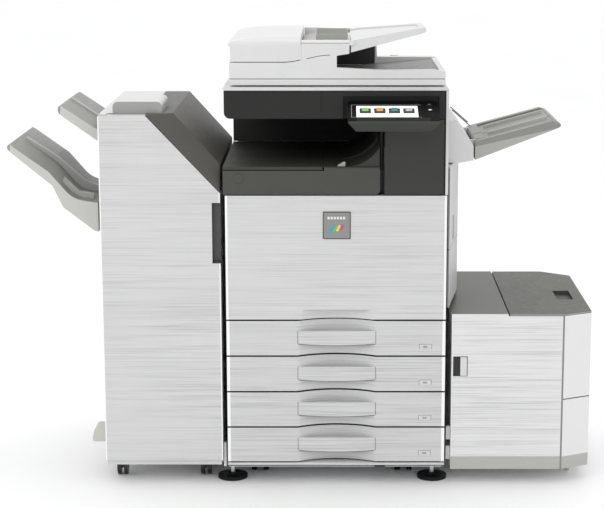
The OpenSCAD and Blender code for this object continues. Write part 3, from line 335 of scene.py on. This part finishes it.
# the frame's part in the gap at x 390-418 painted matt black: painted shade
M["steel"] = metal("zinc_sheet", (0.62, 0.63, 0.64), 0.36, (1, 1, 6), lambda g: g.both(g.x(390, 418), g.y(-5, 60)))
M["stem"] = metal("foot_stem", (0.75, 0.75, 0.76), 0.25)
M["badge"] = metal("badge_metal", (0.30, 0.30, 0.29), 0.35, (30, 1, 1))
M["badge_rim"] = metal("badge_rim_metal", (0.12, 0.12, 0.12), 0.3, (30, 1, 1))
M["glass"] = glass("platen_glass_clear")
M["cover"] = plastic("white_cover", FEEDER_WHITE, 0.4, 0.2, 0.02)
M["feeder"] = plastic("white_feeder", FEEDER_WHITE, 0.4, 0.2, 0.02, patches=[
    (lambda g: g.both(upward(g), g.x(199, 323), g.z(1141, 1173), g.y(29, 460)), (0.33, 0.325, 0.30)),
    (lambda g: g.both(upward(g), g.x(290, 553), g.z(1068, 1092), g.y(30, 442)), (0.16, 0.16, 0.15)),
    # front faces of the block at the tub's rear painted near black: painted shade
    (lambda g: g.both(front(g), g.x(290, 396), g.y(400, 470), g.z(1073, 1136)), (0.02, 0.02, 0.02)),
    (lambda g: g.both(front(g), g.y(16.2, 16.8)), (0.16, 0.16, 0.16)),
    # the right-facing wall at the tub's left end painted near black: painted shade
    (lambda g: g.both(g.math("GREATER_THAN", g.normal.outputs[0], 0.6), g.x(280, 292), g.y(20, 470), g.z(1071, 1137)),
     (0.02, 0.02, 0.02))])
M["input"] = plastic("white_input_tray", (0.64, 0.64, 0.642), 0.42, 0.22, 0.03)
M["screen"] = glowing_plastic("display_white", (0.86, 0.88, 0.9), 0.5)
M["key"] = plastic("panel_key", (0.02, 0.02, 0.02), 0.25, 0.1)
M["side"] = plastic("white_side_door", (0.56, 0.56, 0.562), 0.42, 0.2, 0.02, patches=[
    (lambda g: g.z(629, 631), (0.15, 0.15, 0.15))])
M["rear"] = plastic("rear_white", (0.76, 0.765, 0.77), 0.46, 0.3, 0.02)


def panel_material():
    """Operation panel: its working face is deep black with little shine."""
    g = Graph("panel_body")
    face = g.both(g.math("GREATER_THAN", g.normal.outputs[2], 0.85), g.y(-140, 0))
    lower = g.both(face, g.y(-140, -118), g.x(340, 522))
    out = g.mix(face, mottled(g, (0.06, 0.06, 0.055), 0.05), (0.004, 0.004, 0.004))
    out = g.mix(lower, out, (0.02, 0.02, 0.02))
    g.bump(g.noise(2600.0, detail=2.0), 0.2, 0.0002)
    return g.finish(out, g.span(g.noise(60.0), 0.3, 0.7, 0.36, 0.46), IOR=1.12)


M["panel"] = panel_material()


def feet_material():
    """Black pads with bright steel stems."""
    g = Graph("feet_black_and_steel")
    g.bsdf.inputs["IOR"].default_value = 1.3
    stems = g.both(g.z(14.5, 45), g.math("MAXIMUM", g.x(0, 22), g.x(534, 556)))
    fine = g.noise(700.0)
    g.bump(fine, 0.25, 0.0003)
    out = g.mix(stems, mottled(g, (0.006, 0.006, 0.006), 0.2), (0.6, 0.6, 0.6))
    g.put(stems, g.bsdf.inputs["Metallic"])
    return g.finish(out, g.span(stems, 0, 1, 0.5, 0.28))


M["feet"] = feet_material()

USE = {
    "main_frame": "steel", "outer_covers": "skirt", "rear_cover": "rear", "output_tray": "output",
    "cavity_liner": "liner", "relay_cover": "dark", "exit_cover": "exit", "scanner_housing": "fascia",
    "scanner_top": "white", "platen_glass": "glass", "scan_carriage": "black", "stand_feet": "feet",
    "front_door": "door", "toner_cartridges": "toner", "drum_units": "unit", "transfer_belt_unit": "belt",
    "laser_unit": "unit", "fuser_unit": "unit", "feed_rollers": "rubber", "panel_housing": "panel",
    "panel_screen": "screen", "panel_key_upper": "key", "panel_key_lower": "key", "side_door": "side",
    "side_door_latch": "grey", "side_tray_housing": "white", "side_tray": "side_tray", "feeder_base": "feeder",
    "feeder_cover": "cover", "feeder_input_tray": "input", "feeder_guide_front": "guide",
    "feeder_guide_rear": "guide", "feeder_roller": "rubber", "finisher_frame": "frame_white",
    "finisher_door": "finisher", "finisher_top_cover": "slope", "finisher_upper_tray": "tray",
    "finisher_lower_tray": "tray", "booklet_tray": "booklet", "stapler_unit": "black",
    "caster_front_left": "caster", "caster_front_right": "caster", "caster_rear_left": "caster",
    "caster_rear_right": "caster", "cabinet_body": "cabinet", "cabinet_lid": "lid", "cabinet_lever": "white",
    "cabinet_paper_table": "steel",
}
for i in range(1, 5):
    USE[f"drawer_{i}_front"] = "drawer"
    USE[f"drawer_{i}_tray"] = "drawer_box"
    USE[f"drawer_{i}_lift_plate"] = "steel"

# Edge radii in millimetres: large covers are softer than sheet metal
SOFT_EDGE = {"front_door": 1.2, "finisher_door": 2.5, "feeder_cover": 2.5, "feeder_base": 1.5, "scanner_top": 1.5,
             "cabinet_body": 1.5, "cabinet_lid": 1.5, "side_door": 3.0, "side_tray_housing": 3.0,
             "finisher_frame": 1.5, "finisher_top_cover": 2.0, "finisher_upper_tray": 2.5,
             "finisher_lower_tray": 2.5, "side_tray": 2.5, "feeder_input_tray": 2.0, "booklet_tray": 2.0,
             "panel_housing": 1.5, "exit_cover": 1.2, "relay_cover": 1.5, "output_tray": 1.2}


def soften(o, width):
    weld = o.modifiers.new("weld", "WELD")
    weld.merge_threshold = 2e-6
    bevel = o.modifiers.new("bevel", "BEVEL")
    bevel.width = width / 1000
    bevel.segments = 2
    bevel.limit_method = "ANGLE"
    bevel.angle_limit = math.radians(35)
    bevel.use_clamp_overlap = True
    bevel.harden_normals = True
    weighted = o.modifiers.new("weighted", "WEIGHTED_NORMAL")
    weighted.keep_sharp = True


for name, o in NODES.items():
    for s in o.material_slots:
        s.material = M[USE[name]]
    for p in o.data.polygons:
        p.use_smooth = True
    if name not in ("panel_screen", "platen_glass"):
        soften(o, SOFT_EDGE.get(name, 0.5))


# ---- small pieces ----------------------------------------------------------


def mesh_piece(name, bm, body, mat, place=None):
    mesh = bpy.data.meshes.new(name)
    bmesh.ops.recalc_face_normals(bm, faces=bm.faces)
    bm.to_mesh(mesh)
    bm.free()
    for p in mesh.polygons:
        p.use_smooth = True
    o = bpy.data.objects.new(name, mesh)
    bpy.context.scene.collection.objects.link(o)
    if place is not None:
        o.matrix_world = place
    mesh.materials.append(M[mat])
    weighted = o.modifiers.new("weighted", "WEIGHTED_NORMAL")
    weighted.keep_sharp = True
    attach(o, body)
    return o


def slab(bm, low, high, radius=0.5, round_corner=0.0, axis=1):
    """Adds a box from low to high with softened edges; round_corner rounds its outline seen along axis."""
    verts = bmesh.ops.create_cube(bm, size=1.0)["verts"]
    size = [h - l for l, h in zip(low, high)]
    mid = [(h + l) / 2 for l, h in zip(low, high)]
    for v in verts:
        v.co = Vector([v.co[k] * size[k] + mid[k] for k in range(3)])
    if round_corner:
        edges = [e for e in {e for v in verts for e in v.link_edges}
                 if abs((e.verts[0].co - e.verts[1].co)[axis]) > 1e-9]
        made = bmesh.ops.bevel(bm, geom=edges, offset=round_corner, segments=4, affect="EDGES", profile=0.5)
        verts = list({v for f in made["faces"] for v in f.verts} | {v for v in verts if v.is_valid})
    edges = [e for e in {e for v in verts for e in v.link_edges} if len(e.link_faces) == 2
             and e.calc_face_angle(0) > math.radians(40)]
    bmesh.ops.bevel(bm, geom=edges, offset=radius, segments=2, affect="EDGES", profile=0.5, clamp_overlap=True)


def box_piece(name, low, high, body, mat, radius=0.5, round_corner=0.0, axis=1):
    bm = bmesh.new()
    slab(bm, low, high, radius, round_corner, axis)
    bmesh.ops.transform(bm, matrix=Matrix.Diagonal((0.001, 0.001, 0.001, 1)), verts=bm.verts)
    bmesh.ops.translate(bm, vec=at(0, 0, 0), verts=bm.verts)
    return mesh_piece(name, bm, body, mat)


# Badge: silver plate with a row of plain marks and four slanted colour bars
M["badge_light"] = metal("badge_light_metal", (0.8, 0.8, 0.8), 0.3, (30, 1, 1))
for key, color in (("ink_a", (0.02, 0.35, 0.55)), ("ink_b", (0.55, 0.05, 0.25)), ("ink_c", (0.8, 0.6, 0.05)),
                   ("ink_d", (0.16, 0.42, 0.12))):
    M[key] = plastic("badge_" + key, color, 0.3, 0.08)
box_piece("badge_rim", (254, -1.6, 662), (326, 0.4, 734), "front_door", "badge_rim", 0.6, 2.0)
box_piece("badge_plate", (256.5, -2.2, 664.5), (323.5, 0.4, 731.5), "front_door", "badge", 0.6, 1.5)
for k in range(6):
    box_piece(f"badge_mark_{k}", (266 + k * 8, -2.6, 714), (271.5 + k * 8, -2.0, 721), "front_door", "badge_light",
              0.2, 0.8)
for k, key in enumerate(("ink_a", "ink_d", "ink_c", "ink_b")):
    bm = bmesh.new()
    slab(bm, (-3.2, -0.5, -12 + k * 1.5), (3.2, 0.5, 12 - k * 1.5), 0.3, 2.0)
    bmesh.ops.transform(bm, matrix=Matrix.Diagonal((0.001, 0.001, 0.001, 1)), verts=bm.verts)
    turn = Matrix.Translation(at(277 + k * 8.6, -2.4, 688 + k * 1.5)) @ Matrix.Rotation(math.radians(28), 4, "Y")
    mesh_piece(f"badge_bar_{k}", bm, "front_door", key, turn)

# Size cards in the drawers' label holders
M["card"] = plastic("label_card", (0.6, 0.6, 0.6), 0.5, 0.1)
M["mark"] = plastic("label_mark", (0.32, 0.32, 0.32), 0.5, 0.1)
for i in range(1, 5):
    z = DRAWER_BASE + (4 - i) * DRAWER_STEP + 2
    box_piece(f"label_card_{i}", (505.4, -0.9, z + 17.4), (538.6, -0.4, z + 30.6), f"drawer_{i}", "mark",
              0.15, 0.6)
    box_piece(f"label_face_{i}", (507, -1.1, z + 17.2), (537, -0.7, z + 29.2), f"drawer_{i}", "card",
              0.12, 0.6)
    box_piece(f"label_sign_{i}", (516, -1.3, z + 20.5), (527, -0.9, z + 26), f"drawer_{i}", "mark",
              0.1, 0.5)


# Operation panel: the display's tiles lie on its sloping face
TILT = math.radians(13.4)
FACE = Matrix.Translation(at(318, -8, 1018)) @ Matrix.Rotation(TILT, 4, "X")
M["tile"] = plastic("tile_black", (0.01, 0.01, 0.01), 0.2, 0.05)
M["dash"] = plastic("dash_grey", (0.3, 0.3, 0.3), 0.5, 0.1)
for key, color in (("icon_a", (0.25, 0.55, 0.12)), ("icon_b", (0.85, 0.32, 0.04)), ("icon_c", (0.03, 0.25, 0.22)),
                   ("icon_d", (0.5, 0.5, 0.48))):
    M[key] = glowing_plastic("display_" + key, color, 0.15)


def panel_piece(name, low, high, mat, radius=0.15, round_corner=0.0, body="operation_panel"):
    bm = bmesh.new()
    slab(bm, low, high, radius, round_corner, 2)
    bmesh.ops.transform(bm, matrix=Matrix.Diagonal((0.001, 0.001, 0.001, 1)), verts=bm.verts)
    return mesh_piece(name, bm, body, mat, FACE)


for k, key in enumerate(("icon_a", "icon_b", "icon_c", "icon_d")):
    u = 21 + 8 + k * 36.5
    panel_piece(f"display_tile_{k}", (u, -86, 0.5), (u + 28.5, -50, 1.0), "tile", 0.12, 2.0)
    panel_piece(f"display_icon_{k}", (u + 6, -70, 0.8), (u + 22.5, -46, 1.4), key, 0.12, 4.0)

# Marks on the two keys; the lower mark glows: painted light
M["key_mark"] = glowing_plastic("key_mark_painted_glow", (0.8, 0.8, 0.8), 0.3)
panel_piece("key_mark_lower", (202.5, -64, 0.8), (209.5, -58, 1.35), "key_mark", 0.12, 2.5, "key_lower")
panel_piece("key_mark_upper", (204, -23.5, 0.8), (208, -20.5, 1.3), "dash", 0.12, 1.2, "key_upper")

# Fine frame along the top, left and bottom of the display window
for name, low, high in (("top", (8, -24, 0.0), (184, -22.6, 0.4)), ("left", (8, -112, 0.0), (9.4, -24, 0.4)),
                        ("bottom", (8, -113.4, 0.0), (184, -112, 0.4))):
    panel_piece(f"window_frame_{name}", low, high, "dash", 0.1)

# Grey dashes under the display
for k in range(9):
    panel_piece(f"display_dash_{k}", (24 + k * 17, -104, 0.0), (33 + k * 17, -101, 0.35), "dash", 0.08, 0.8)


def prism_piece(name, outline, y_low, y_high, body, mat, radius=1.0):
    """Outline of X, Z points drawn out along Y, with softened edges."""
    bm = bmesh.new()
    ends = [bm.faces.new([bm.verts.new((x, y, z)) for x, z in outline]) for y in (y_low, y_high)]
    rings = [list(f.verts) for f in ends]
    for k in range(len(outline)):
        m = (k + 1) % len(outline)
        bm.faces.new((rings[0][k], rings[0][m], rings[1][m], rings[1][k]))
    bmesh.ops.recalc_face_normals(bm, faces=bm.faces)
    sharp = [e for e in bm.edges if len(e.link_faces) == 2 and e.calc_face_angle(0) > math.radians(30)]
    bmesh.ops.bevel(bm, geom=sharp, offset=radius, segments=2, affect="EDGES", profile=0.5, clamp_overlap=True)
    bmesh.ops.transform(bm, matrix=Matrix.Diagonal((0.001, 0.001, 0.001, 1)), verts=bm.verts)
    bmesh.ops.translate(bm, vec=at(0, 0, 0), verts=bm.verts)
    return mesh_piece(name, bm, body, mat)


# Ribs that carry the sheets on the output trays
prism_piece("lower_tray_rib", [(-549, 885), (-470, 829), (-398, 744), (-352, 742), (-352, 763), (-392, 779), (-462, 842),
            (-545, 896)], 238, 258, "lower_tray", "rib")
prism_piece("lower_tray_guide", [(-436, 786), (-392, 740), (-350, 738), (-350, 762), (-389, 768), (-428, 806)], 118, 130,
            "lower_tray", "rib")
prism_piece("upper_tray_rib", [(-424, 994), (-340, 938), (-337, 946), (-420, 1003)], 235, 255, "main", "rib")
for k, y in enumerate((166, 300)):
    prism_piece(f"side_tray_rib_{k}", [(690, 905), (690, 919), (846, 962), (846, 950)], y, y + 7, "side_tray", "rib")

# Lip of the feeder cover over its gap to the base
box_piece("cover_lip", (196.5, 14.7, 1121), (199.8, 17.5, 1160), "feeder_cover", "cover", 0.3)

# Guide wires over the slope of the side tray's housing
for k, y in enumerate((250, 322)):
    bm = bmesh.new()
    start, end = at(600, y, 968), at(648, y, 926)
    bmesh.ops.create_cone(bm, cap_ends=True, segments=16, radius1=0.0013, radius2=0.0013, depth=(end - start).length)
    lie = (end - start).to_track_quat("Z", "Y").to_matrix().to_4x4()
    mesh_piece(f"guide_wire_{k}", bm, "main", "black", Matrix.Translation((start + end) / 2) @ lie)

# Sheet stop beside the exit cover
prism_piece("exit_stop", [(292, 849), (292, 853), (308, 862), (312, 861), (312, 849)], 10, 15, "main", "grey", 0.4)

# Drawer handles: painted shadow line under each bar and thin dark breaks at its ends, painted shade of the gaps there
M["handle_shade"] = plastic("handle_painted_shade", (0.17, 0.17, 0.17), 0.5, 0.2)
BAR_HEIGHT, BAR_SAG = 34, 4
for i in range(1, 5):
    bar_top = DRAWER_BASE + (5 - i) * DRAWER_STEP - 29
    curve = [(HANDLE_L + (HANDLE_R - HANDLE_L) * k / 16, bar_top - BAR_HEIGHT - BAR_SAG * (1 - (k / 8 - 1) ** 2))
             for k in range(17)]
    prism_piece(f"handle_shadow_{i}", curve + [(x, z - 2.4) for x, z in reversed(curve)], 0.6, 6, f"drawer_{i}",
                "handle_shade", 0.2)
    for side, x in (("left", HANDLE_L), ("right", HANDLE_R)):
        box_piece(f"handle_end_{i}_{side}", (x - 0.8, -0.35, bar_top - BAR_HEIGHT), (x + 0.8, 0.4, bar_top),
                  f"drawer_{i}", "handle_shade", 0.12)

# White mounts in the gap between the main unit and the cabinet
for k, z in enumerate((64, 118)):
    box_piece(f"dock_mount_{k}", (579, 14, z), (590.5, 26, z + 36), "cabinet", "white", 1.0)
box_piece("finisher_bracket", (-9.5, 10, 45), (-2.5, 24, 110), "main", "white", 1.0)

# ---- floor, light and camera -----------------------------------------------


def stage_material():
    g = Graph("studio_floor")
    out = g.mix(g.span(g.noise(0.8, detail=5.0), 0.3, 0.7), (0.93, 0.93, 0.935), (0.95, 0.95, 0.95))
    g.bump(g.noise(220.0), 0.05, 0.0004)
    return g.finish(out, g.span(g.noise(3.0), 0.3, 0.7, 0.55, 0.7))


bm = bmesh.new()
bmesh.ops.create_grid(bm, x_segments=4, y_segments=4, size=60)
mesh = bpy.data.meshes.new("studio_floor")
bm.to_mesh(mesh)
bm.free()
floor = bpy.data.objects.new("studio_floor", mesh)
bpy.context.scene.collection.objects.link(floor)
mesh.materials.append(stage_material())

world = bpy.data.worlds.new("studio")
bpy.context.scene.world = world
world.use_nodes = True
back = world.node_tree.nodes["Background"]
back.inputs[0].default_value = (1.0, 1.0, 1.0, 1.0)
back.inputs[1].default_value = 1.06


def area(name, place, target, size, power):
    data = bpy.data.lights.new(name, "AREA")
    data.shape = "RECTANGLE"
    data.size, data.size_y = size
    data.energy = power
    o = bpy.data.objects.new(name, data)
    bpy.context.scene.collection.objects.link(o)
    o.location = place
    o.rotation_euler = (Vector(target) - Vector(place)).to_track_quat("-Z", "Y").to_euler()


area("key", (-2.6, -3.4, 3.4), (0.1, 0, 0.6), (2.4, 2.0), 26)
area("top", (0.2, 0.4, 3.8), (0.1, 0.1, 0.8), (3.0, 2.0), 16)

data = bpy.data.cameras.new("camera")
data.sensor_width = 36
data.lens = 104.3
data.shift_x = -0.0563
camera = bpy.data.objects.new("camera", data)
bpy.context.scene.collection.objects.link(camera)
camera.location = (0.0935, -4.6805, 1.510)
camera.rotation_euler = (math.radians(90 - 11.3), 0, 0)
bpy.context.scene.camera = camera
bpy.context.scene.view_settings.view_transform = "Standard"
